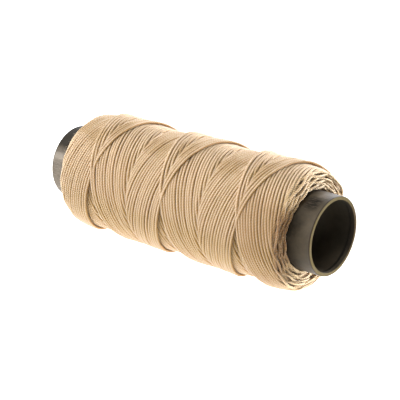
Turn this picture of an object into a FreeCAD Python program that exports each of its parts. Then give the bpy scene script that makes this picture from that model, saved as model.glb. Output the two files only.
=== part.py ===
# Cross-wound thread spool lying on its side: a moulded core tube with one waxed thread wound on it.
# Millimetres. +X runs along the tube's axis, towards the end with the shorter bare neck, +Z is up,
# and the origin is on the axis at the middle of the tube's length.
import FreeCAD, Part

import math
import os

# ---- driving dimensions (mm) ----
tube_length = 90.3        # rim to rim
tube_outer_r = 10.55      # bare tube, outside
tube_bore_r = 9.75        # inside wall between the two mouth lips
lip_r = 9.55              # slightly narrower lip inside each mouth, which centres the tube on a spindle
lip_depth = 1.1           # how far each lip reaches in from its rim
lip_ramp = 0.25           # short ramp from the lip back to the inside wall
rim_outer_round = 0.25    # rounded outer edge of each rim
rim_inner_round = 0.15    # softened inner edge of each rim

wind_r = 17.0             # wound package over the crossing threads, at its fullest
near_shoulder_x = 28.25   # where the package starts to fall away towards the +X end
near_edge_x = 37.95       # outer edge of the +X thread face, before it is rounded
near_edge_r = 16.5
near_foot_x = 38.6        # the +X thread face at the tube: the face bulges a little
far_shoulder_x = -25.75   # the same three places at the -X end
far_edge_x = -36.6
far_edge_r = 16.35
far_foot_x = -36.95
edge_round = 1.0          # the thread turns back here, which rounds both edges of the package

V = FreeCAD.Vector
os.makedirs("parts", exist_ok=True)


def line(a, b):
    return Part.LineSegment(V(a[0], 0, a[1]), V(b[0], 0, b[1])).toShape()


def arc(a, m, b):
    return Part.Arc(V(a[0], 0, a[1]), V(m[0], 0, m[1]), V(b[0], 0, b[1])).toShape()


def corner(cx, cr, radius, a0, a1):
    """Start, middle and end of a round about (cx, cr), from angle a0 to a1 in degrees."""
    return [(cx + radius * math.cos(math.radians(t)), cr + radius * math.sin(math.radians(t)))
            for t in (a0, (a0 + a1) / 2.0, a1)]


def turn(edges):
    """A closed profile in the XZ half plane, turned about the X axis into one solid."""
    return Part.Face(Part.Wire(edges)).revolve(V(0, 0, 0), V(1, 0, 0), 360).Solids[0]


# ---- core tube: plain outside, a narrow lip inside each mouth, softened rims ----
def core_tube():
    h = tube_length / 2.0
    ro, ri = rim_outer_round, rim_inner_round
    step = h - lip_depth
    wall = step - lip_ramp
    return turn([
        line((-h + ro, tube_outer_r), (h - ro, tube_outer_r)),
        arc(*corner(h - ro, tube_outer_r - ro, ro, 90, 0)),
        line((h, tube_outer_r - ro), (h, lip_r + ri)),
        arc(*corner(h - ri, lip_r + ri, ri, 0, -90)),
        line((h - ri, lip_r), (step, lip_r)),
        line((step, lip_r), (wall, tube_bore_r)),
        line((wall, tube_bore_r), (-wall, tube_bore_r)),
        line((-wall, tube_bore_r), (-step, lip_r)),
        line((-step, lip_r), (-h + ri, lip_r)),
        arc(*corner(-h + ri, lip_r + ri, ri, 270, 180)),
        line((-h, lip_r + ri), (-h, tube_outer_r - ro)),
        arc(*corner(-h + ro, tube_outer_r - ro, ro, 180, 90)),
    ])


def droop(x0, x1, r1):
    """An arc that leaves the package's cylinder level at x0 and reaches radius r1 at x1: its middle point."""
    run, drop = abs(x1 - x0), wind_r - r1
    big = (run * run + drop * drop) / (2.0 * drop)
    half = math.asin(run / big) / 2.0
    return (x0 + math.copysign(big * math.sin(half), x1 - x0), wind_r - big * (1.0 - math.cos(half)))


# ---- wound thread: the closed shape that all its turns fill, from the tube's wall outwards ----
def thread_winding():
    near_edge, far_edge = (near_edge_x, near_edge_r), (far_edge_x, far_edge_r)
    body = turn([
        line((far_foot_x, tube_outer_r), far_edge),
        arc(far_edge, droop(far_shoulder_x, far_edge_x, far_edge_r), (far_shoulder_x, wind_r)),
        line((far_shoulder_x, wind_r), (near_shoulder_x, wind_r)),
        arc((near_shoulder_x, wind_r), droop(near_shoulder_x, near_edge_x, near_edge_r), near_edge),
        line(near_edge, (near_foot_x, tube_outer_r)),
        line((near_foot_x, tube_outer_r), (far_foot_x, tube_outer_r)),
    ])
    rims = []
    for e in body.Edges:
        if e.Curve.TypeId == "Part::GeomCircle" and abs(e.Curve.Axis.x) > 0.99:
            if min(abs(e.Curve.Radius - near_edge_r) + abs(e.Curve.Center.x - near_edge_x),
                   abs(e.Curve.Radius - far_edge_r) + abs(e.Curve.Center.x - far_edge_x)) < 1e-4:
                rims.append(e)
    return body.makeFillet(edge_round, rims).Solids[0]


pieces = {"core_tube": core_tube(), "thread_winding": thread_winding()}
for name, solid in pieces.items():
    box = solid.optimalBoundingBox(False)
    print(name, "valid", solid.isValid(), "volume", round(solid.Volume, 1),
          "x", round(box.XMin, 3), round(box.XMax, 3), "y", round(box.YMin, 3), round(box.YMax, 3),
          "z", round(box.ZMin, 3), round(box.ZMax, 3))
    solid.exportStep("parts/" + name + ".step")
print("overlap", round(pieces["core_tube"].common(pieces["thread_winding"]).Volume, 6))
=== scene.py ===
import math

import bpy
import numpy as np
from mathutils import Matrix, Vector


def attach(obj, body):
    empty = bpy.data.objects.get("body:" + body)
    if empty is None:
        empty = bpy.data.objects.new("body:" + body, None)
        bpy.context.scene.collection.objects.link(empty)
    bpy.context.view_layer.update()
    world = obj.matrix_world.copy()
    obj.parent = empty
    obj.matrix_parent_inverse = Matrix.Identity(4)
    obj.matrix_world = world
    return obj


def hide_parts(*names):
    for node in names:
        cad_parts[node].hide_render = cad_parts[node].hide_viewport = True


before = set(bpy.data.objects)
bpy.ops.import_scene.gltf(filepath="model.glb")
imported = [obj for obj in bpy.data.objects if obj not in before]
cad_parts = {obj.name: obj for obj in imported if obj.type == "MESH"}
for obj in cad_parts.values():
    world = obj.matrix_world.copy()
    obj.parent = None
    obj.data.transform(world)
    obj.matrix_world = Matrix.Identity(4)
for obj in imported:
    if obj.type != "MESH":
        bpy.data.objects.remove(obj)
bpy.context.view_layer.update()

TAU = 2.0 * np.pi
MM = 0.001

# ---------------------------------------------------------------- camera
# Found from the rim's ellipse, the package's outline and the crossing rings of the winding.
PACK_R = 16.92                                   # mean package radius, mm
FOCAL = 1403.4 / 400.0                           # focal length over the picture's side
AZ, EL = math.radians(39.739), math.radians(20.940)
RIM_TO_CAMERA = Vector((10.8924, -16.1993, 8.0134)) * PACK_R * MM

cam_data = bpy.data.cameras.new("camera")
cam = bpy.data.objects.new("camera", cam_data)
bpy.context.scene.collection.objects.link(cam)
cam_data.sensor_width = 36.0
cam_data.lens = FOCAL * 36.0
cam_data.clip_start, cam_data.clip_end = 0.01, 20.0
back = Vector((math.sin(AZ) * math.cos(EL), -math.cos(AZ) * math.cos(EL), math.sin(EL)))
right = Vector((0, 0, 1)).cross(back).normalized()
up = back.cross(right)
cam.matrix_world = Matrix.Translation(Vector((0.04475, 0, 0)) + RIM_TO_CAMERA) @ Matrix((right, up, back)).transposed().to_4x4()
bpy.context.scene.camera = cam


# ---------------------------------------------------------------- the winding
# Millimetres and radians. The angle runs round the axis from +Y towards +Z. One double stroke takes the thread from
# the far end to the near end and back, three turns each way, and lands one thread's width further round.
TUBE_R = 10.55
THREAD_R = 0.425
FAR_TURN, NEAR_TURN = -36.83, 38.89              # where the strokes would turn if they turned sharply
PER_COVER = 28                                   # double strokes that cover the package once
SURFACE_R = 16.70
LAYER = 0.856                                    # thickness of one crossing layer
STEP = 0.46                                      # how much of that shows where the newest turns lie over the oldest
LAST_NEAR = 346.0                                # degrees round, where the last stroke leaves the near end
FREE_X = -11.25                                  # where the last stroke ends
CORNER_W = (9.0, 12.5)                           # degrees over which a stroke turns back, far and near
CORNER_JITTER = (0.4, 1.15)                      # how far short of the full stroke a turn may stop, mm
CORNER_SKEW = (0.15, 0.35)                       # and how lopsided it may be
CORNER_LIFT = (0.05, 0.12)                       # and how unevenly it beds down
CORNER_STAGGER = (0.12, 0.42)                    # every other turn beds deeper than its neighbours, mm
SLUMP = (1.35, 108.0, 34.0)                      # the inner turns have crept out along the tube here: mm, place and spread in degrees
WANDER, WANDER_KEEP = 0.15, 0.6
COLUMNS = 1440
GRID = 0.08


def soften(values, sigma):
    """Gaussian smoothing over samples, the end values carried on past both ends."""
    n = int(sigma * 3) + 1
    k = np.exp(-0.5 * (np.arange(-n, n + 1) / sigma) ** 2)
    k /= k.sum()
    return np.convolve(np.concatenate([np.full(n, values[0]), values, np.full(n, values[-1])]), k, "valid")


def taut(px, py, q, bend):
    """A thread pulled tight over points py at angles px, read at q."""
    p0 = px[0]
    gx = px - p0
    gy = py - bend * gx * gx / 2
    hx, hy = [], []
    for a, b in zip(gx.tolist(), gy.tolist()):
        while len(hx) > 1 and (hy[-1] - hy[-2]) * (a - hx[-1]) <= (b - hy[-1]) * (hx[-1] - hx[-2]):
            hx.pop()
            hy.pop()
        hx.append(a)
        hy.append(b)
    qq = q - p0
    return np.interp(qq, hx, hy) + bend * qq * qq / 2


def outline(x):
    """Mean radius of the finished package along its axis: it falls away towards both ends."""
    out = np.full_like(x, SURFACE_R)
    u = np.clip((x - 28.2) / (38.95 - 28.2), 0, 1)
    out -= 1.35 * (1 - np.sqrt(np.maximum(0, 1 - u ** 3.38)))
    u = np.clip((-25.75 - x) / (37.35 - 25.75), 0, 1)
    out -= 1.5 * (1 - np.sqrt(np.maximum(0, 1 - u ** 4.35)))
    return out


def wind():
    """The whole thread's centreline as (angle, x, radius) samples, with how much of it shows."""
    rng = np.random.default_rng(7)
    step = TAU / PER_COVER
    half = 3 * TAU + step / 2
    n_double = int(round((SURFACE_R - TUBE_R) / LAYER / 2 * PER_COVER))
    slope = (NEAR_TURN - FAR_TURN) / half
    last_near = math.radians(LAST_NEAR) + TAU * 3000
    end = last_near + (NEAR_TURN - FREE_X) / slope
    start = last_near - half - 2 * half * (n_double - 1)
    strokes = 2 * n_double
    lateral = np.zeros((strokes + 2, 14))
    for f in (0, 1):
        g = rng.normal(size=14)
        for j in range(f, strokes + 2, 2):
            g = WANDER_KEEP * g + math.sqrt(1 - WANDER_KEEP ** 2) * rng.normal(size=14)
            lateral[j] = g
    radial = rng.normal(size=(strokes + 2, 40))
    jitter = rng.uniform(0, 1, strokes + 3) ** 1.3
    skew = rng.normal(size=strokes + 3)
    lift = rng.normal(size=(strokes + 3, 2))
    dphi = TAU / COLUMNS
    cols = np.arange(int(math.ceil(start / dphi)), int(math.floor(end / dphi)))
    phi = (cols + 0.5) * dphi
    stroke = (phi - start) / half
    si = np.floor(stroke).astype(int)
    b = stroke - si
    going_near = si % 2 == 0
    a = np.where(going_near, b, 1 - b)
    x = FAR_TURN + (NEAR_TURN - FAR_TURN) * a
    u = np.minimum(b, 1 - b) * half
    inward = np.where(a > 0.5, -1.0, 1.0)
    w = np.radians(np.where(a > 0.5, CORNER_W[1], CORNER_W[0]))
    x += inward * np.where(u < w, slope * (w - u) ** 2 / (2 * w), 0.0)
    x += inward * jitter[si + (b > 0.5)] * np.where(a > 0.5, CORNER_JITTER[1], CORNER_JITTER[0]) * np.exp(-(u / math.radians(22)) ** 2)
    side = np.where(b > 0.5, 1.0, -1.0)
    x += side * skew[si + (b > 0.5)] * np.where(a > 0.5, CORNER_SKEW[1], CORNER_SKEW[0]) * (u / math.radians(9)) * np.exp(-(u / math.radians(13)) ** 2)

    place = (np.degrees(phi) - SLUMP[1] + 180) % 360 - 180
    x += np.where(a > 0.5, SLUMP[0], 0.0) * (1 - 0.75 * stroke / strokes) * np.exp(-(place / SLUMP[2]) ** 2) * np.exp(-(u / math.radians(26)) ** 2)

    def knots(table, pos):
        p = pos * (table.shape[1] - 1)
        i = np.clip(np.floor(p).astype(int), 0, table.shape[1] - 2)
        f = p - i
        f = f * f * (3 - 2 * f)
        return table[si, i] * (1 - f) + table[si, i + 1] * f

    x += WANDER * knots(lateral, b) * np.sin(np.pi * b) ** 0.5
    covers = stroke / 2 / PER_COVER
    other = (-(6 + 1 / PER_COVER) * b - 0.6 / PER_COVER) % 1.0   # age of the crossing thread below, in covers
    scale = (outline(x) - TUBE_R) / (SURFACE_R - TUBE_R)
    level = np.maximum(2 * covers - 0.5 + STEP * (0.5 - other), 0)
    base = TUBE_R + THREAD_R + scale * LAYER * level + 0.04 * knots(radial, b)
    base += np.where(a > 0.5, CORNER_LIFT[1], CORNER_LIFT[0]) * lift[si + (b > 0.5), (side > 0).astype(int)] * np.exp(-(u / math.radians(14)) ** 2)
    stagger = np.where((si + (b > 0.5)) // 2 % 2 == 0, np.clip(n_double / PER_COVER - covers - 0.1, 0, 1), -1.0)
    base += np.where(a > 0.5, CORNER_STAGGER[1], CORNER_STAGGER[0]) * stagger * np.exp(-(u / math.radians(17)) ** 2)
    base = soften(np.maximum(base, TUBE_R + THREAD_R), 0.35 / 16.9 / dphi)
    # pulled tight over what lies below
    dec, win, lap = 4, 1080, 160
    n = len(base) // dec * dec
    blocks = base[:n].reshape(-1, dec)
    top = blocks.argmax(1)
    px = phi[:n].reshape(-1, dec)[np.arange(len(blocks)), top]
    py = blocks[np.arange(len(blocks)), top]
    bend = soften(py, 400)
    r = base.copy()
    for s in range(0, len(px), win):
        lo, hi = max(0, s - lap), min(len(px), s + win + lap)
        q0 = s * dec
        q1 = len(phi) if s + win >= len(px) else (s + win) * dec
        r[q0:q1] = taut(px[lo:hi], py[lo:hi], phi[q0:q1], float(bend[s]))
    r[-20:] = r[-21]
    r = np.maximum(r, base)
    # pressed down by the turns above, from the last stroke to the first
    x_low = FAR_TURN - 3
    nx = int((NEAR_TURN - FAR_TURN + 6) / GRID) + 1
    cosa = r / np.sqrt(r * r + np.gradient(x, dphi) ** 2)
    reach = int(math.ceil(THREAD_R / math.cos(math.radians(22)) / GRID)) + 1
    ks = np.arange(-reach, reach + 1)
    ix = np.round((x - x_low) / GRID).astype(int)
    edges = np.searchsorted(stroke, np.arange(0, strokes + 2))
    roof = np.full((COLUMNS, nx), 1e3, np.float32)

    def footprint(i0, i1):
        idx = slice(i0, i1)
        cells = ix[idx][:, None] + ks[None, :]
        d = (x_low + cells * GRID - x[idx][:, None]) * cosa[idx][:, None]
        rows = np.broadcast_to((cols[idx] % COLUMNS)[:, None], cells.shape)
        return rows, cells, d, np.sqrt(np.maximum(THREAD_R ** 2 - d * d, 0)), np.abs(d) < THREAD_R

    spans = [(edges[s], min(edges[s + 1] if s + 1 < len(edges) else len(phi), len(phi))) for s in range(strokes + 1)]
    for i0, i1 in reversed(spans):
        if i1 <= i0:
            continue
        rows, cells, d, depth, inside = footprint(i0, i1)
        limit = np.where(np.abs(d) < 0.7 * THREAD_R, roof[rows, cells] - depth, 1e3).min(1)
        rr = np.maximum(np.minimum(r[i0:i1], limit + 0.06), base[i0:i1])
        r[i0:i1] = rr
        at = (rows[inside], cells[inside])
        roof[at] = np.minimum(roof[at], (rr[:, None] - depth)[inside])
    r = soften(r, 0.4 / 16.9 / dphi)
    # what shows from outside, and at the two end faces
    surface = np.full((COLUMNS, nx), TUBE_R, np.float32)
    nr = 80
    near = np.full((COLUMNS, nr), -1e3, np.float32)
    far = np.full((COLUMNS, nr), 1e3, np.float32)
    ir = np.clip(((r - TUBE_R) / 0.1).astype(int), 0, nr - 1)
    rows_all = cols % COLUMNS
    for i0, i1 in spans:
        if i1 <= i0:
            continue
        rows, cells, d, depth, inside = footprint(i0, i1)
        at = (rows[inside], cells[inside])
        surface[at] = np.maximum(surface[at], (r[i0:i1][:, None] + depth)[inside])
        for k in range(-4, 5):
            rk = np.clip(ir[i0:i1] + k, 0, nr - 1)
            bulge = math.sqrt(max(THREAD_R ** 2 - (0.1 * k) ** 2, 0))
            q = (rows_all[i0:i1], rk)
            near[q] = np.maximum(near[q], x[i0:i1] + bulge)
            far[q] = np.minimum(far[q], x[i0:i1] - bulge)
    shows = np.zeros(len(phi), bool)
    for i0, i1 in spans:
        if i1 <= i0:
            continue
        rows, cells, d, depth, inside = footprint(i0, i1)
        own = r[i0:i1][:, None] + depth
        shows[i0:i1] = ((own > surface[rows, cells] - 0.12) & (np.abs(d) < 0.93 * THREAD_R)).any(1)
        q = (rows_all[i0:i1], ir[i0:i1])
        shows[i0:i1] |= (x[i0:i1] > near[q] - 1.0) | (x[i0:i1] < far[q] + 1.0)
    return phi, x, r, shows


LAY = 2.15                                       # one turn of the plies, mm
FINE = LAY / 9                                   # ring spacing where the thread shows
SIDES = 12                                       # four points to a ply
STRIDE = 6                                       # hidden turns keep every sixth ring


def rings(phi, x, r, shows):
    """Ring places along the thread: close where it shows, sparse where it is buried."""
    dphi = phi[1] - phi[0]
    ds = np.sqrt(np.gradient(x) ** 2 + (r * dphi) ** 2 + np.gradient(r) ** 2)
    s = np.concatenate([[0], np.cumsum((ds[1:] + ds[:-1]) / 2)])
    pad = int(0.9 / 0.074)
    c = np.cumsum(np.concatenate([[0], shows.astype(int)]))
    lo = np.clip(np.arange(len(s)) - pad, 0, len(s))
    hi = np.clip(np.arange(len(s)) + pad + 1, 0, len(s))
    wide = c[hi] > c[lo]
    lattice = np.arange(int(s[-1] / FINE)) * FINE
    seen = np.interp(lattice, s, wide.astype(float)) > 0.01
    keep, turn = [0], [0.0]
    k, last = 0, len(lattice) - 1
    csum = np.concatenate([[0], np.cumsum(seen)]).tolist()
    while k < last:
        if k + STRIDE <= last and csum[k + STRIDE + 1] == csum[k]:
            k += STRIDE
            turn.append(turn[-1])
        else:
            k += 1
            turn.append(turn[-1] + 40.0)
        keep.append(k)
    keep = np.array(keep)
    sk = lattice[keep]
    return (sk, np.interp(sk, s, phi), np.interp(sk, s, x), np.interp(sk, s, r), np.radians(np.array(turn)), seen[keep])


FUZZ = 11000                                     # loose fibre ends that stand off the thread


def fuzz(s, centre, tangent, out, side, rr, seen):
    """Fine fibre ends that lift off the outer turns: thin tapered tubes, closed at both ends."""
    rng = np.random.default_rng(23)
    outer = np.flatnonzero(seen & ((rr > 15.2) | (centre[:, 0] > 37.4) | (centre[:, 0] < -36.0)))
    at = rng.choice(outer, FUZZ)
    swing = rng.normal(size=FUZZ) * 0.7
    lift = out[at] * np.cos(swing)[:, None] + side[at] * np.sin(swing)[:, None]
    root = centre[at] + lift * (THREAD_R * 0.8)
    run = tangent[at] * rng.choice([-1.0, 1.0], FUZZ)[:, None] + 0.5 * rng.normal(size=(FUZZ, 3))
    run /= np.linalg.norm(run, axis=1)[:, None]
    long_ = 0.35 + 1.0 * rng.random(FUZZ) ** 2
    rise = rng.uniform(0.25, 0.8, FUZZ)
    curl = rng.normal(size=(FUZZ, 3)) * 0.35
    steps, sides = 4, 3
    t = np.linspace(0, 1, steps + 1)
    line = (root[:, None, :] + (long_[:, None] * t)[:, :, None] * (run + lift * rise[:, None])[:, None, :]
            + (long_[:, None] * t ** 2)[:, :, None] * curl[:, None, :])
    ahead = np.gradient(line, axis=1)
    ahead /= np.linalg.norm(ahead, axis=2)[:, :, None]
    e1 = np.cross(ahead, np.array([0.31, 0.52, 0.79]))
    e1 /= np.linalg.norm(e1, axis=2)[:, :, None]
    e2 = np.cross(ahead, e1)
    size = rng.uniform(0.012, 0.021, FUZZ)[:, None] * np.array([1.0, 0.95, 0.8, 0.6, 0.3])[None, :]
    w = np.arange(sides) * TAU / sides
    ring = (line[:, :, None, :] + size[:, :, None, None] * (np.cos(w)[None, None, :, None] * e1[:, :, None, :]
                                                            + np.sin(w)[None, None, :, None] * e2[:, :, None, :]))
    co = ring.reshape(-1, 3) * MM
    per = (steps + 1) * sides
    j, k = np.meshgrid(np.arange(steps), np.arange(sides), indexing="ij")
    j, k = j.ravel(), k.ravel()
    one = np.stack([j * sides + k, j * sides + (k + 1) % sides, (j + 1) * sides + (k + 1) % sides, (j + 1) * sides + k], 1)
    quad = (np.arange(FUZZ)[:, None, None] * per + one[None]).reshape(-1, 4)
    tri = np.concatenate([np.arange(FUZZ)[:, None] * per + np.array([2, 1, 0]),
                          np.arange(FUZZ)[:, None] * per + steps * sides + np.array([0, 1, 2])])
    mesh = bpy.data.meshes.new("thread_fuzz")
    mesh.vertices.add(len(co))
    mesh.vertices.foreach_set("co", co.astype(np.float32).ravel())
    mesh.loops.add(quad.size + tri.size)
    mesh.loops.foreach_set("vertex_index", np.concatenate([quad.ravel(), tri.ravel()]).astype(np.int32))
    mesh.polygons.add(len(quad) + len(tri))
    mesh.polygons.foreach_set("loop_start", np.concatenate([np.arange(len(quad)) * 4, quad.size + np.arange(len(tri)) * 3]).astype(np.int32))
    mesh.polygons.foreach_set("loop_total", np.concatenate([np.full(len(quad), 4), np.full(len(tri), 3)]).astype(np.int32))
    mesh.polygons.foreach_set("use_smooth", np.ones(len(quad) + len(tri), bool))
    mesh.attributes.new("outward", "FLOAT", "POINT").data.foreach_set("value", np.ones(len(co), np.float32))
    u0 = np.repeat(s[at], len(one)) + np.tile(j, FUZZ) * 0.3
    v = np.tile((k + 0.5) / 9.0 + 0.06, FUZZ)
    luv = np.repeat(np.stack([u0, v], 1), 4, axis=0)
    cap = np.repeat(np.stack([np.concatenate([s[at], s[at]]), np.full(2 * FUZZ, 0.16)], 1), 3, axis=0)
    mesh.uv_layers.new(name="Strand").uv.foreach_set("vector", np.concatenate([luv, cap]).astype(np.float32).ravel())
    # a grid of small blocks, one to a fibre, for baking
    cols = int(math.ceil(math.sqrt(FUZZ)))
    bx, by = (np.arange(FUZZ) % cols) * 7.0 + 1.0, (np.arange(FUZZ) // cols) * 4.5 + 1.0
    corner = np.stack([np.stack([j, k], 1), np.stack([j, k + 1], 1), np.stack([j + 1, k + 1], 1), np.stack([j + 1, k], 1)], 1)
    flat = (np.stack([bx, by], 1)[:, None, None, :] + corner[None]).reshape(-1, 2)
    three = np.array([[0.0, 0.0], [1.0, 0.0], [0.5, 1.0]])
    foot = (np.stack([bx + 4.6, by + 0.2], 1)[:, None, :] + three[None]).reshape(-1, 2)
    tip = (np.stack([bx + 4.6, by + 1.8], 1)[:, None, :] + three[None]).reshape(-1, 2)
    flat = np.concatenate([flat, foot, tip]) / (cols * 7.0 + 2.0)
    mesh.uv_layers.new(name="OFBake").uv.foreach_set("vector", flat.astype(np.float32).ravel())
    mesh.update(calc_edges=True)
    mesh.validate()
    ob = bpy.data.objects.new(mesh.name, mesh)
    bpy.context.scene.collection.objects.link(ob)
    return ob


def thread_pieces(faces_each=96000):
    phi, x, r, shows = wind()
    s, ph, xx, rr, turn, seen = rings(phi, x, r, shows)
    rng = np.random.default_rng(11)
    centre = np.stack([xx, rr * np.cos(ph), rr * np.sin(ph)], 1)
    tangent = np.gradient(centre, axis=0)
    tangent /= np.linalg.norm(tangent, axis=1)[:, None]
    out = np.stack([np.zeros_like(ph), np.cos(ph), np.sin(ph)], 1)
    out -= (out * tangent).sum(1)[:, None] * tangent
    out /= np.linalg.norm(out, axis=1)[:, None]
    side = np.cross(tangent, out)
    # three plies: each lobe of the section is one ply
    ply_r, ply_c = 0.54, 0.46
    local = np.radians((np.arange(SIDES) % 4) * 30.0 - 60.0)
    rho = ply_c * np.cos(local) + np.sqrt(ply_r ** 2 - (ply_c * np.sin(local)) ** 2)
    ang = np.arange(SIDES) * TAU / SIDES
    coarse = rng.normal(size=int(s[-1] / 4) + 3)
    thick = 1 + 0.04 * np.clip(np.interp(s / 4, np.arange(len(coarse)), coarse), -2, 2)
    lumps = rng.normal(size=int(s[-1] / 1.1) + 3)
    thick += 0.035 * np.clip(np.interp(s / 1.1, np.arange(len(lumps)), lumps), -2, 2)
    # pulled round a tight bend, the thread closes up
    thick *= 1 - 0.15 * np.clip((xx - 36.5) / 1.2, 0, 1) - 0.08 * np.clip((-35.3 - xx) / 1.0, 0, 1)
    per_piece = faces_each // SIDES
    n = len(s)
    made = []
    starts = list(range(0, n - 1, per_piece))
    for number, i0 in enumerate(starts):
        i1 = min(i0 + per_piece, n - 1)
        idx = np.arange(i0, i1 + 1)
        m = len(idx)
        a = ang[None, :] + turn[idx][:, None]
        rad = THREAD_R * thick[idx][:, None] * rho[None, :]
        co = (centre[idx][:, None, :] + (rad * np.cos(a))[:, :, None] * out[idx][:, None, :]
              + (rad * np.sin(a) * 1.06)[:, :, None] * side[idx][:, None, :]) * MM
        co = co.reshape(-1, 3)
        k = np.arange(SIDES)
        row = np.arange(m - 1)[:, None] * SIDES
        quad = np.stack([row + k, row + SIDES + k, row + SIDES + (k + 1) % SIDES, row + (k + 1) % SIDES], -1).reshape(-1, 4)
        nq = len(quad)
        loops = np.concatenate([quad.ravel(), k, ((m - 1) * SIDES + k)[::-1]])
        mesh = bpy.data.meshes.new(f"thread_turns_{number + 1:02d}")
        mesh.vertices.add(len(co))
        mesh.vertices.foreach_set("co", co.astype(np.float32).ravel())
        mesh.loops.add(len(loops))
        mesh.loops.foreach_set("vertex_index", loops.astype(np.int32))
        mesh.polygons.add(nq + 2)
        mesh.polygons.foreach_set("loop_start", np.concatenate([np.arange(nq) * 4, [nq * 4, nq * 4 + SIDES]]).astype(np.int32))
        mesh.polygons.foreach_set("loop_total", np.concatenate([np.full(nq, 4), [SIDES, SIDES]]).astype(np.int32))
        mesh.polygons.foreach_set("use_smooth", np.ones(nq + 2, bool))
        # how squarely each point faces the open air: outwards on the package, endwards on its two faces
        sideways = np.cos(a) * out[idx, 0][:, None] + np.sin(a) * side[idx, 0][:, None]
        end = np.clip((xx[idx] - 36.6) / 1.2, 0, 1)[:, None] * sideways - np.clip((-35.4 - xx[idx]) / 1.0, 0, 1)[:, None] * sideways
        mesh.attributes.new("outward", "FLOAT", "POINT").data.foreach_set("value", np.maximum(np.cos(a), end).astype(np.float32).ravel())
        # strand coordinates: millimetres along, and round the section
        uv = mesh.uv_layers.new(name="Strand")
        along = s[idx]
        u0 = np.repeat(along[:-1], SIDES)
        u1 = np.repeat(along[1:], SIDES)
        v0 = np.tile(k / SIDES, m - 1)
        v1 = np.tile((k + 1) / SIDES, m - 1)
        luv = np.stack([np.stack([u0, v0], 1), np.stack([u1, v0], 1), np.stack([u1, v1], 1), np.stack([u0, v1], 1)], 1).reshape(-1, 2)
        luv = np.concatenate([luv, np.stack([np.zeros(SIDES), k / SIDES], 1), np.stack([np.full(SIDES, along[-1]), (k / SIDES)[::-1]], 1)])
        uv.uv.foreach_set("vector", luv.astype(np.float32).ravel())
        # strips of turns side by side, for baking
        ring = np.arange(m - 1)
        per = int(math.ceil(math.sqrt((m - 1) * (SIDES + 1.5))))
        rows = int(math.ceil((m - 1) / per))
        wide, high = per + 3.0, rows * (SIDES + 1.5) + 6.0
        cu = np.repeat(ring % per, SIDES) + 1.0
        cv = np.repeat(ring // per, SIDES) * (SIDES + 1.5) + 1.0 + np.tile(k, m - 1)
        flat = np.stack([np.stack([cu, cv], 1), np.stack([cu + 1, cv], 1), np.stack([cu + 1, cv + 1], 1), np.stack([cu, cv + 1], 1)], 1).reshape(-1, 2)
        cap = np.stack([np.cos(ang), np.sin(ang)], 1) * 1.6
        flat = np.concatenate([flat, cap + [3.0, high - 2.5], cap + [8.0, high - 2.5]]) / [wide, high]
        bake = mesh.uv_layers.new(name="OFBake")
        bake.uv.foreach_set("vector", flat.astype(np.float32).ravel())
        mesh.update(calc_edges=True)
        mesh.validate()
        ob = bpy.data.objects.new(mesh.name, mesh)
        bpy.context.scene.collection.objects.link(ob)
        made.append(ob)
    made.append(fuzz(s, centre, tangent, out, side, rr, seen))
    print("thread", round(s[-1] / 1000, 2), "m, rings", n, "pieces", len(made), "faces", n * SIDES,
          "seen m", round(float(np.sum(np.diff(s)[seen[:-1]])) / 1000, 2), "max r", round(float(rr.max() + THREAD_R), 3))
    return made


# ---------------------------------------------------------------- materials
class Nodes:
    """Small helper to build a node tree: every call adds one node and returns its output."""

    def __init__(self, name):
        self.mat = bpy.data.materials.new(name)
        self.mat.use_nodes = True
        self.tree = self.mat.node_tree
        self.bsdf = self.tree.nodes["Principled BSDF"]

    def add(self, kind, ins=None, out=0, **props):
        node = self.tree.nodes.new(kind)
        for k, v in props.items():
            setattr(node, k, v)
        for k, v in (ins or {}).items():
            if isinstance(v, bpy.types.NodeSocket):
                self.tree.links.new(v, node.inputs[k])
            else:
                node.inputs[k].default_value = v
        return node.outputs[out]

    def math(self, op, a, b=0.0, c=0.0, clamp=False):
        return self.add("ShaderNodeMath", {0: a, 1: b, 2: c}, operation=op, use_clamp=clamp)

    def smooth(self, value, lo, hi, to_lo=0.0, to_hi=1.0):
        return self.add("ShaderNodeMapRange", {0: value, 1: lo, 2: hi, 3: to_lo, 4: to_hi}, interpolation_type="SMOOTHSTEP")

    def noise(self, vector, scale, detail=2.0, rough=0.5, dist=0.0):
        return self.add("ShaderNodeTexNoise", {"Vector": vector, "Scale": scale, "Detail": detail, "Roughness": rough, "Distortion": dist})

    def combine(self, x, y, z):
        return self.add("ShaderNodeCombineXYZ", {0: x, 1: y, 2: z})

    def mix(self, fac, a, b, blend="MIX"):
        node = self.tree.nodes.new("ShaderNodeMix")
        node.data_type = "RGBA"
        node.blend_type = blend
        for k, v in (("Factor_Float", fac), ("A_Color", a), ("B_Color", b)):
            sock = next(i for i in node.inputs if i.identifier == k)
            if isinstance(v, bpy.types.NodeSocket):
                self.tree.links.new(v, sock)
            else:
                sock.default_value = v
        return next(o for o in node.outputs if o.identifier == "Result_Color")

    def to(self, name, value):
        if isinstance(value, bpy.types.NodeSocket):
            self.tree.links.new(value, self.bsdf.inputs[name])
        else:
            self.bsdf.inputs[name].default_value = value


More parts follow.
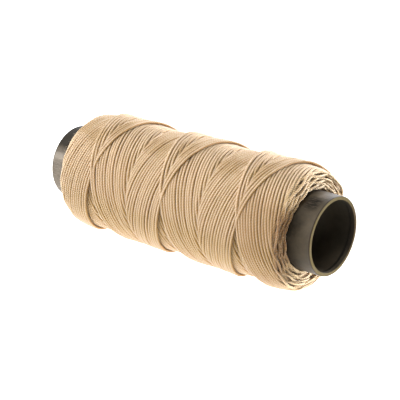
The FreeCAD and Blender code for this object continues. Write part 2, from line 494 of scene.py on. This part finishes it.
def thread_material():
    n = Nodes("waxed_thread")
    uv = n.add("ShaderNodeUVMap", uv_map="Strand")
    sep = n.tree.nodes.new("ShaderNodeSeparateXYZ")
    n.tree.links.new(uv, sep.inputs[0])
    along, round_ = sep.outputs[0], sep.outputs[1]
    # place across one ply: 0 on its crown, 1 in the groove between two plies
    ply = n.math("FRACT", n.math("MULTIPLY", round_, 3.0))
    across = n.math("MULTIPLY", n.math("ABSOLUTE", n.math("SUBTRACT", ply, 0.5)), 2.0)
    groove = n.smooth(across, 0.5, 1.0)
    # fibres lie nearly along the thread, so they cross the plies the other way
    lay = n.math("ADD", n.math("DIVIDE", along, LAY), round_)
    fibre_at = n.combine(n.math("MULTIPLY", along, 0.55), n.math("MULTIPLY", lay, 24.0), 0.0)
    fibre = n.noise(fibre_at, 1.0, 3.0, 0.62, 0.3)
    fine_at = n.combine(n.math("MULTIPLY", along, 1.3), n.math("MULTIPLY", lay, 60.0), 4.0)
    fine = n.noise(fine_at, 1.0, 2.0, 0.5)
    patch = n.noise(n.combine(n.math("MULTIPLY", along, 0.09), 0.5, 2.0), 1.0, 3.0, 0.55)
    bead = n.noise(n.combine(n.math("MULTIPLY", along, 0.8), n.math("MULTIPLY", round_, 3.0), 7.0), 1.0, 2.0, 0.5)
    outward = n.add("ShaderNodeAttribute", out=2, attribute_name="outward")
    between = n.smooth(outward, 0.66, 0.08)
    place = n.add("ShaderNodeVectorMath", {0: n.add("ShaderNodeTexCoord", out=3), 3: 1000.0}, operation="SCALE")
    cloud = n.noise(place, 0.13, 3.0, 0.6)
    xyz = n.tree.nodes.new("ShaderNodeSeparateXYZ")
    n.tree.links.new(place, xyz.inputs[0])
    back_y, back_z = n.math("MULTIPLY", xyz.outputs[1], -1.0), n.math("MULTIPLY", xyz.outputs[2], -1.0)
    turn = n.math("MULTIPLY", n.math("ADD", n.math("ARCTAN2", back_z, back_y), math.pi), 180.0 / math.pi)
    ends = n.math("ADD", n.smooth(xyz.outputs[0], 36.6, 38.0), n.smooth(xyz.outputs[0], -35.2, -36.6), clamp=True)
    light = (*THREAD_COLOUR, 1)
    dark = (THREAD_COLOUR[0] * 0.64, THREAD_COLOUR[1] * 0.48, THREAD_COLOUR[2] * 0.26, 1)
    pale = (min(1.0, THREAD_COLOUR[0] * 1.16), THREAD_COLOUR[1] * 1.24, THREAD_COLOUR[2] * 1.85, 1)
    col = n.mix(n.math("MULTIPLY", n.smooth(fibre, 0.30, 0.72), 0.55), light, pale)
    col = n.mix(n.math("MULTIPLY", n.smooth(fine, 0.58, 0.80), 0.35), col, dark)
    # painted shade: darker down in the groove between two plies
    col = n.mix(n.math("MULTIPLY", groove, 0.55), col, dark)
    col = n.mix(n.math("MULTIPLY", n.smooth(patch, 0.36, 0.70), 0.22), col, dark)
    col = n.mix(n.math("MULTIPLY", n.smooth(bead, 0.62, 0.78), 0.35), col, dark)
    col = n.mix(n.math("MULTIPLY", n.smooth(cloud, 0.42, 0.66), 0.40), col, (THREAD_COLOUR[0] * 0.76, THREAD_COLOUR[1] * 0.74, THREAD_COLOUR[2] * 0.52, 1))
    # painted highlight: the crowns of the plies that face outward are paler and bluer
    top = n.math("MULTIPLY", n.smooth(outward, 0.45, 0.95), n.smooth(across, 0.95, 0.35))
    col = n.mix(n.math("MULTIPLY", top, 0.50), col, (THREAD_COLOUR[0] * 1.12, THREAD_COLOUR[1] * 1.25, THREAD_COLOUR[2] * 2.25, 1))
    # on the end faces the crowns of the turns are painted paler, a painted highlight, and the hollows between them
    # painted dark, a painted shade
    crown = n.math("MULTIPLY", n.math("MULTIPLY", ends, n.smooth(across, 0.75, 0.15)), n.smooth(outward, 0.35, 0.85))
    col = n.mix(n.math("MULTIPLY", crown, 0.8), col, (min(1.0, THREAD_COLOUR[0] * 1.50), THREAD_COLOUR[1] * 1.58, THREAD_COLOUR[2] * 1.75, 1))
    # painted highlight: those crowns are paler still low round the near face
    face_highlight = n.math("MULTIPLY", n.math("MULTIPLY", crown, n.math("MULTIPLY", n.smooth(turn, 198.0, 214.0), n.smooth(turn, 340.0, 300.0))), n.smooth(xyz.outputs[0], 36.6, 38.0))
    col = n.mix(n.math("MULTIPLY", face_highlight, 0.75), col, (0.80, 0.64, 0.36, 1))
    # painted shade: the sides of every turn that face away from the open air, down between neighbouring turns, are
    # darker and warmer
    col = n.mix(n.math("MULTIPLY", between, 0.85), col, (THREAD_COLOUR[0] * 0.92, THREAD_COLOUR[1] * 0.60, THREAD_COLOUR[2] * 0.10, 1))
    # painted shade: on the end faces the hollows between turns and the ply grooves are darker still
    deep = n.math("MULTIPLY", ends, n.math("MAXIMUM", between, n.math("MULTIPLY", groove, 0.8)))
    col = n.mix(n.math("MULTIPLY", deep, 0.85), col, (THREAD_COLOUR[0] * 0.30, THREAD_COLOUR[1] * 0.19, THREAD_COLOUR[2] * 0.06, 1))
    # painted shade: loose darker, olive patches along the top
    ragged = n.math("MULTIPLY", n.math("SUBTRACT", n.noise(place, 0.45, 3.0, 0.6), 0.5), 1.6)
    patch_shade = 0.0
    for px, pa, wx, wa in SHADE_PATCHES:
        off_x = n.math("DIVIDE", n.math("SUBTRACT", xyz.outputs[0], px), wx)
        off_a = n.math("DIVIDE", n.math("SUBTRACT", turn, pa), wa)
        off = n.math("SQRT", n.math("ADD", n.math("MULTIPLY", off_x, off_x), n.math("MULTIPLY", off_a, off_a)))
        patch_shade = n.math("MAXIMUM", n.smooth(n.math("ADD", off, ragged), 1.15, 0.45), patch_shade)
    col = n.mix(n.math("MULTIPLY", patch_shade, 0.70), col, (THREAD_COLOUR[0] * 0.68, THREAD_COLOUR[1] * 0.58, THREAD_COLOUR[2] * 0.36, 1))
    # painted shade: a darker, yellower band low on one side
    low_band_shade = n.math("MULTIPLY", n.math("MULTIPLY", n.smooth(turn, 174.0, 194.0), n.smooth(turn, 226.0, 208.0)), n.smooth(xyz.outputs[0], -8.0, 12.0, 0.75, 1.0))
    col = n.mix(n.math("MULTIPLY", low_band_shade, 0.42), col, (THREAD_COLOUR[0] * 0.76, THREAD_COLOUR[1] * 0.66, THREAD_COLOUR[2] * 0.16, 1))
    # painted shade darkens one side of the near shoulder, and a painted shadow of the tube darkens one side of the near
    # face, down next to the tube
    shoulder_shade = n.math("MULTIPLY", n.math("MULTIPLY", n.smooth(turn, 128.0, 150.0), n.smooth(turn, 238.0, 222.0)), n.smooth(xyz.outputs[0], 21.0, 33.0))
    shoulder_shade = n.math("MULTIPLY", shoulder_shade, n.smooth(n.noise(place, 0.16, 3.0, 0.6), 0.25, 0.60, 0.65, 1.0))
    col = n.mix(n.math("MULTIPLY", shoulder_shade, 0.50), col, (THREAD_COLOUR[0] * 0.52, THREAD_COLOUR[1] * 0.34, THREAD_COLOUR[2] * 0.04, 1))
    # painted shadow of the tube over one side of the near face
    face_shadow = n.math("MULTIPLY", n.smooth(turn, 134.0, 158.0), n.smooth(turn, 226.0, 200.0))
    face_shadow = n.math("MULTIPLY", face_shadow, n.smooth(xyz.outputs[0], 36.6, 38.2))
    face_shadow = n.math("MULTIPLY", face_shadow, n.smooth(n.noise(place, 0.5, 2.0, 0.5), 0.25, 0.60, 0.55, 1.0))
    col = n.mix(n.math("MULTIPLY", face_shadow, 0.78), col, (0.180, 0.066, 0.004, 1))
    n.to("Base Color", col)
    n.to("Roughness", n.smooth(fibre, 0.25, 0.75, 0.40, 0.56))
    height = n.math("ADD", n.math("MULTIPLY", fibre, 0.65), n.math("MULTIPLY", fine, 0.35))
    n.to("Normal", n.add("ShaderNodeBump", {"Strength": 0.55, "Distance": 0.00006, "Height": height}))
    n.to("Sheen Weight", 0.6)
    n.to("Sheen Roughness", 0.5)
    n.to("Sheen Tint", (1.0, 0.93, 0.86, 1))
    n.to("Specular Tint", (1.0, 0.76, 0.46, 1))
    n.to("Coat Weight", 0.65)
    n.to("Coat Roughness", 0.37)
    n.to("Coat IOR", 1.5)
    return n.mat


def tube_material():
    n = Nodes("tube_plastic")
    geo = n.add("ShaderNodeTexCoord", out=3)
    mm = n.add("ShaderNodeVectorMath", {0: geo, 3: 1000.0}, operation="SCALE")
    sep = n.tree.nodes.new("ShaderNodeSeparateXYZ")
    n.tree.links.new(mm, sep.inputs[0])
    x, y, z = sep.outputs
    radius = n.math("SQRT", n.math("ADD", n.math("MULTIPLY", y, y), n.math("MULTIPLY", z, z)))
    back_y, back_z = n.math("MULTIPLY", y, -1.0), n.math("MULTIPLY", z, -1.0)
    turn = n.math("MULTIPLY", n.math("ADD", n.math("ARCTAN2", back_z, back_y), math.pi), 10.55)   # millimetres round the outside from +Y
    end = n.math("ABSOLUTE", x)
    mottle = n.noise(mm, 0.35, 4.0, 0.6)
    grain = n.noise(mm, 5.0, 3.0, 0.6)
    lathe = n.noise(n.combine(n.math("MULTIPLY", x, 9.0), n.math("MULTIPLY", turn, 0.12), radius), 1.0, 3.0, 0.6)
    drag = n.noise(n.combine(n.math("MULTIPLY", x, 0.55), n.math("MULTIPLY", turn, 2.6), 3.0), 1.0, 3.0, 0.6)
    base = (*TUBE_COLOUR, 1)
    paler = tuple(v * 1.75 for v in TUBE_COLOUR) + (1,)
    deeper = tuple(v * 0.45 for v in TUBE_COLOUR) + (1,)
    col = n.mix(n.math("MULTIPLY", n.smooth(mottle, 0.35, 0.70), 0.7), base, paler)
    col = n.mix(n.math("MULTIPLY", n.smooth(lathe, 0.52, 0.75), 0.35), col, paler)
    outside = n.smooth(radius, 10.2, 10.4)
    # dirty streaks on the bare neck
    near_patch = n.math("MULTIPLY", n.smooth(n.math("ABSOLUTE", n.math("SUBTRACT", x, 41.6)), 3.0, 0.7),
                        n.smooth(n.math("ABSOLUTE", n.math("SUBTRACT", turn, 20.9)), 3.6, 0.9))
    streaks = n.math("MULTIPLY", n.math("MULTIPLY", n.smooth(drag, 0.36, 0.52), near_patch), outside)
    col = n.mix(n.math("MULTIPLY", streaks, 0.97), col, (0.004, 0.003, 0.002, 1))
    # painted highlight: paler over the top of the near neck, towards the rim
    neck_top_highlight = n.math("MULTIPLY", n.smooth(n.math("ABSOLUTE", n.math("SUBTRACT", turn, 16.6)), 3.4, 1.0), n.smooth(x, 40.2, 42.2))
    neck_top_highlight = n.math("MULTIPLY", n.math("MULTIPLY", neck_top_highlight, n.smooth(mottle, 0.30, 0.62)), outside)
    col = n.mix(n.math("MULTIPLY", neck_top_highlight, 0.75), col, (0.150, 0.125, 0.095, 1))
    far_end = n.math("MULTIPLY", n.smooth(x, -37.5, -39.0), outside)
    # painted shade: the far neck is darker over its upper side, and rougher there
    dull_shaded = n.math("MULTIPLY", n.math("MULTIPLY", far_end, n.smooth(n.math("ADD", turn, n.math("MULTIPLY", mottle, 3.0)), 28.2, 26.2)), n.smooth(turn, 0.5, 9.0))
    col = n.mix(n.math("MULTIPLY", dull_shaded, 0.92), col, (0.006, 0.005, 0.003, 1))
    # painted reflection: paler and streaked over the lower front of the far neck
    far_low_reflection = n.math("MULTIPLY", n.math("MULTIPLY", n.smooth(drag, 0.30, 0.72, 0.35, 1.0), far_end), n.math("MULTIPLY", n.smooth(turn, 25.0, 30.5), n.smooth(turn, 58.0, 46.0)))
    col = n.mix(n.math("MULTIPLY", far_low_reflection, 0.8), col, (0.175, 0.152, 0.125, 1))
    # a thin paler line along the far neck
    far_pale_line = n.math("MULTIPLY", far_end, n.smooth(n.math("ABSOLUTE", n.math("SUBTRACT", n.math("ADD", turn, n.math("MULTIPLY", drag, 1.2)), 29.0)), 1.6, 0.3))
    col = n.mix(n.math("MULTIPLY", far_pale_line, 0.5), col, (0.27, 0.24, 0.20, 1))
    # a painted shadow of the package on the neck next to the thread, a smear of wax and dirt there, and a dark edge
    # just before the rim
    package_shadow = n.math("MULTIPLY", n.math("MULTIPLY", n.smooth(x, 42.8, 39.4), n.smooth(x, 30.0, 36.0)), n.smooth(mottle, 0.62, 0.36, 0.55, 1.0))
    package_shadow = n.math("MULTIPLY", package_shadow, n.math("MULTIPLY", n.smooth(turn, 23.5, 27.5), n.smooth(turn, 45.0, 40.0)))
    col = n.mix(n.math("MULTIPLY", n.math("MULTIPLY", package_shadow, outside), 0.90), col, (0.006, 0.005, 0.003, 1))
    smear = n.math("MULTIPLY", n.math("MULTIPLY", n.smooth(n.math("ABSOLUTE", n.math("SUBTRACT", turn, 40.5)), 8.0, 2.0), n.smooth(x, 30.0, 36.0)), outside)
    col = n.mix(n.math("MULTIPLY", smear, 0.42), col, (0.006, 0.005, 0.003, 1))
    # painted shade: a dark line on the rounding just before the rim
    edge = n.math("MULTIPLY", n.smooth(n.math("ABSOLUTE", n.math("SUBTRACT", end, 44.93)), 0.20, 0.09), outside)
    col = n.mix(n.math("MULTIPLY", edge, 0.85), col, (0.012, 0.006, 0.004, 1))
    # painted shade: inside, the wall is darker towards the mouth, most over its upper side
    inside = n.smooth(radius, 10.0, 9.85)
    lower = n.smooth(z, -4.5, -8.5)
    bore_shade = n.mix(lower, n.smooth(end, 43.0, 32.0, 0.80, 0.0), n.smooth(end, 43.0, 32.0, 0.05, 0.0))
    col = n.mix(n.math("MULTIPLY", inside, bore_shade), col, (0.006, 0.005, 0.003, 1))
    # painted light: paler further in
    col = n.mix(n.math("MULTIPLY", inside, n.smooth(end, 39.0, 30.0, 0.0, 0.8)), col, (0.115, 0.100, 0.080, 1))
    # painted shadow: a thin dark line where the lip in the mouth meets the inside wall
    lip_shadow = n.math("MULTIPLY", inside, n.smooth(n.math("ABSOLUTE", n.math("SUBTRACT", end, 43.62)), 0.60, 0.25))
    # painted light and shade: the lip in the mouth is lighter low down and darker higher up
    lip = n.math("MULTIPLY", inside, n.smooth(end, 43.95, 44.15))
    col = n.mix(n.math("MULTIPLY", lip, 0.8), col, n.mix(lower, (0.012, 0.009, 0.006, 1), (0.050, 0.042, 0.030, 1)))
    col = n.mix(n.math("MULTIPLY", lip_shadow, 0.9), col, (0.004, 0.003, 0.002, 1))
    # the cut rim is worn to a dull khaki, broken here and there
    rim = n.math("MULTIPLY", n.smooth(end, 45.06, 45.13), n.smooth(n.noise(mm, 1.6, 4.0, 0.65), 0.22, 0.42, 0.45, 1.0))
    rim_col = n.mix(n.smooth(grain, 0.35, 0.70), (*RIM_COLOUR, 1), tuple(v * 0.62 for v in RIM_COLOUR) + (1,))
    # painted shade: the side of the rim towards +Y, a little below level, is darker
    facing = n.math("DIVIDE", n.math("ADD", n.math("MULTIPLY", y, 0.985), n.math("MULTIPLY", z, -0.174)), radius)
    rim_col = n.mix(n.math("MULTIPLY", n.smooth(facing, 0.35, 0.90), 0.85), rim_col, (0.036, 0.018, 0.002, 1))
    col = n.mix(rim, col, rim_col)
    n.to("Base Color", col)
    rough = n.smooth(mottle, 0.30, 0.72, 0.48, 0.62)
    rough = n.math("ADD", rough, n.math("MULTIPLY", n.smooth(lathe, 0.40, 0.75), 0.10))
    rough = n.math("ADD", rough, n.math("MULTIPLY", n.math("ADD", n.math("ADD", rim, dull_shaded), n.math("ADD", streaks, inside), clamp=True), 0.22), clamp=True)
    n.to("Roughness", rough)
    height = n.math("ADD", n.math("MULTIPLY", grain, 0.35), n.math("ADD", n.math("MULTIPLY", lathe, 0.5), n.math("MULTIPLY", drag, 0.25)))
    n.to("Normal", n.add("ShaderNodeBump", {"Strength": 0.35, "Distance": 0.00012, "Height": height}))
    n.to("Specular IOR Level", 0.32)
    n.to("Specular Tint", (1.0, 0.90, 0.76, 1))
    return n.mat


THREAD_COLOUR = (0.445, 0.300, 0.126)
# places of the painted shade patches along the top
SHADE_PATCHES = ((-34.0, 112.0, 3.2, 15.0), (-28.0, 124.0, 4.0, 12.0), (-22.5, 108.0, 3.0, 16.0), (-7.5, 116.0, 4.8, 15.0),
         (2.0, 111.0, 3.2, 16.0), (17.5, 115.0, 4.8, 16.0), (27.5, 112.0, 3.4, 16.0))   # x, degrees round, half widths
TUBE_COLOUR = (0.036, 0.028, 0.018)
RIM_COLOUR = (0.102, 0.076, 0.025)
thread_mat = thread_material()
tube_mat = tube_material()

strands = thread_pieces()
for ob in strands:
    ob.data.materials.append(thread_mat)
    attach(ob, "root")
    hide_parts("thread_winding")

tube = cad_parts["core_tube"]
for slot in tube.material_slots:
    slot.material = tube_mat
if not tube.material_slots:
    tube.data.materials.append(tube_mat)

# ---------------------------------------------------------------- floor and light
low = 0.0
for ob in strands[:-1]:
    co = np.empty(len(ob.data.vertices) * 3, np.float32)
    ob.data.vertices.foreach_get("co", co)
    low = min(low, float(co[2::3].min()))
floor_mesh = bpy.data.meshes.new("floor")
floor_mesh.from_pydata([(-3, -3, low), (3, -3, low), (3, 3, low), (-3, 3, low)], [], [(0, 1, 2, 3)])
floor = bpy.data.objects.new("floor", floor_mesh)
bpy.context.scene.collection.objects.link(floor)
floor_nodes = Nodes("floor")
floor_nodes.to("Roughness", 0.8)
# a white sweep whose glow is painted light: brightest right under the spool, warmer and dimmer around it, dimmer still
# out of the picture on the near side and off to one side; around the spool and off to that side it is painted greyer, a
# painted shade
at = floor_nodes.tree.nodes.new("ShaderNodeSeparateXYZ")
floor_nodes.tree.links.new(floor_nodes.add("ShaderNodeTexCoord", out=3), at.inputs[0])
fx, fy = at.outputs[0], at.outputs[1]
nearer = floor_nodes.math("SUBTRACT", floor_nodes.math("MULTIPLY", fx, 0.639), floor_nodes.math("MULTIPLY", fy, 0.769))
under = floor_nodes.math("MULTIPLY", floor_nodes.smooth(floor_nodes.math("ABSOLUTE", fy), 0.046, 0.012),
                         floor_nodes.smooth(floor_nodes.math("ABSOLUTE", fx), 0.090, 0.045))
across = floor_nodes.math("ADD", floor_nodes.math("MULTIPLY", fx, 0.769), floor_nodes.math("MULTIPLY", fy, 0.639))
aside = floor_nodes.math("MULTIPLY", floor_nodes.smooth(across, 0.09, 0.17), floor_nodes.smooth(nearer, -0.12, -0.02))
aside = floor_nodes.math("ADD", floor_nodes.smooth(nearer, 0.12, 0.24), aside, clamp=True)
close = floor_nodes.math("MULTIPLY", floor_nodes.smooth(floor_nodes.math("ABSOLUTE", fy), 0.16, 0.05), floor_nodes.smooth(floor_nodes.math("ABSOLUTE", fx), 0.14, 0.05))
floor_nodes.to("Base Color", floor_nodes.mix(aside, floor_nodes.mix(close, (0.85, 0.85, 0.85, 1), (0.64, 0.64, 0.64, 1)), (0.36, 0.36, 0.36, 1)))
glow = floor_nodes.math("ADD", floor_nodes.math("SUBTRACT", floor_nodes.math("SUBTRACT", 0.86, floor_nodes.math("MULTIPLY", close, 0.36)), floor_nodes.math("MULTIPLY", aside, 0.46)), floor_nodes.math("MULTIPLY", under, 1.62))
floor_nodes.to("Emission Strength", glow)
floor_nodes.to("Emission Color", floor_nodes.mix(under, floor_nodes.mix(close, (1.0, 0.98, 0.97, 1), (1.0, 0.93, 0.70, 1)), (1.0, 0.97, 0.93, 1)))
floor_mesh.materials.append(floor_nodes.mat)

world = bpy.data.worlds.new("world")
bpy.context.scene.world = world
world.use_nodes = True
world.node_tree.nodes["Background"].inputs["Color"].default_value = (1, 1, 1, 1)
world.node_tree.nodes["Background"].inputs["Strength"].default_value = 0.05


def area(name, at, to, size, power, colour=(1, 1, 1)):
    data = bpy.data.lights.new(name, "AREA")
    data.shape = "RECTANGLE"
    data.size, data.size_y = size
    data.energy = power
    data.color = colour
    ob = bpy.data.objects.new(name, data)
    bpy.context.scene.collection.objects.link(ob)
    ob.location = at
    ob.rotation_euler = (Vector(to) - Vector(at)).to_track_quat("-Z", "Y").to_euler()
    return ob


area("back", (-0.25, 0.70, 0.30), (0, 0, 0), (1.2, 0.5), 12.6, (0.87, 0.91, 1.0))
area("right_back", (0.52, 0.60, 0.11), (0, 0, 0), (0.2, 0.16), 9.5)
area("left", (-0.80, -0.05, 0.35), (0, 0, 0), (0.9, 0.6), 6.5)
area("key", (0.08, -0.26, 0.74), (0, 0, 0), (0.6, 0.6), 7.6)
area("front_left", (-0.42, -0.44, 0.27), (0, 0, 0), (0.35, 0.3), 3.7, (1.0, 0.98, 1.0))

bpy.context.scene.view_settings.view_transform = "Standard"
